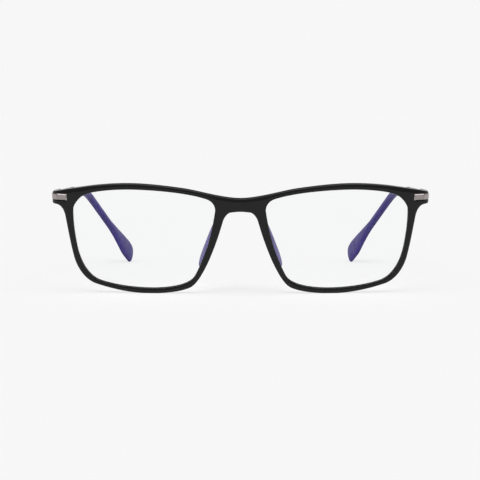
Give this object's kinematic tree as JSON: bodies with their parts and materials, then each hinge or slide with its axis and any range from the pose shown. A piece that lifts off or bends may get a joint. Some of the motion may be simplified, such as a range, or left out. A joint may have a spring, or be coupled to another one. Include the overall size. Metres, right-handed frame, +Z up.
{
  "type": "blue light glasses",
  "caption": "Full-rim blue light glasses with a black plastic front, clear lenses, slim metal temples that fold on small hinges, and soft purple tips and nose pads.",
  "frame": {"origin": "the middle of the bounding box across X and Y, at the level of the table that the open glasses stand on", "axes": "+X along the front's width, from the glasses' middle to the wearer's left-hand side when worn; +Y back from the front towards the temple tips; +Z up"},
  "size_m": [0.1404, 0.1385, 0.0409],
  "materials": {
    "gloss_black": "gloss",
    "clear_lens": "clear, polished",
    "gunmetal": "satin",
    "dark_steel": "satin",
    "purple_soft": "satin",
    "purple_silicone": "satin"
  },
  "bodies": {
    "front": {"front_frame": "gloss_black", "lens_right": "clear_lens", "lens_left": "clear_lens", "nose_pad_right": "purple_silicone", "nose_pad_left": "purple_silicone", "trim_plate_right": "gunmetal", "trim_plate_left": "gunmetal", "front_hinge_right": "dark_steel", "front_hinge_left": "dark_steel", "hinge_screw_right": "dark_steel", "hinge_screw_left": "dark_steel", "leaf_screw_upper_right": "dark_steel", "leaf_screw_lower_right": "dark_steel", "leaf_screw_upper_left": "dark_steel", "leaf_screw_lower_left": "dark_steel"},
    "temple_right": {"temple_hinge_right": "dark_steel", "temple_arm_right": "gunmetal", "temple_tip_right": "purple_soft"},
    "temple_left": {"temple_hinge_left": "dark_steel", "temple_arm_left": "gunmetal", "temple_tip_left": "purple_soft"}
  },
  "joints": [
    {"name": "temple_left_hinge", "type": "hinge", "parent": "front", "child": "temple_left", "pos_m": [0.0628, -0.0559, 0.03602], "axis": [0, 0.0314, 0.9995], "range_deg": [0, 82]},
    {"name": "temple_right_hinge", "type": "hinge", "parent": "front", "child": "temple_right", "pos_m": [-0.0628, -0.0559, 0.03602], "axis": [0, -0.0314, -0.9995], "range_deg": [0, 70]}
  ]
}
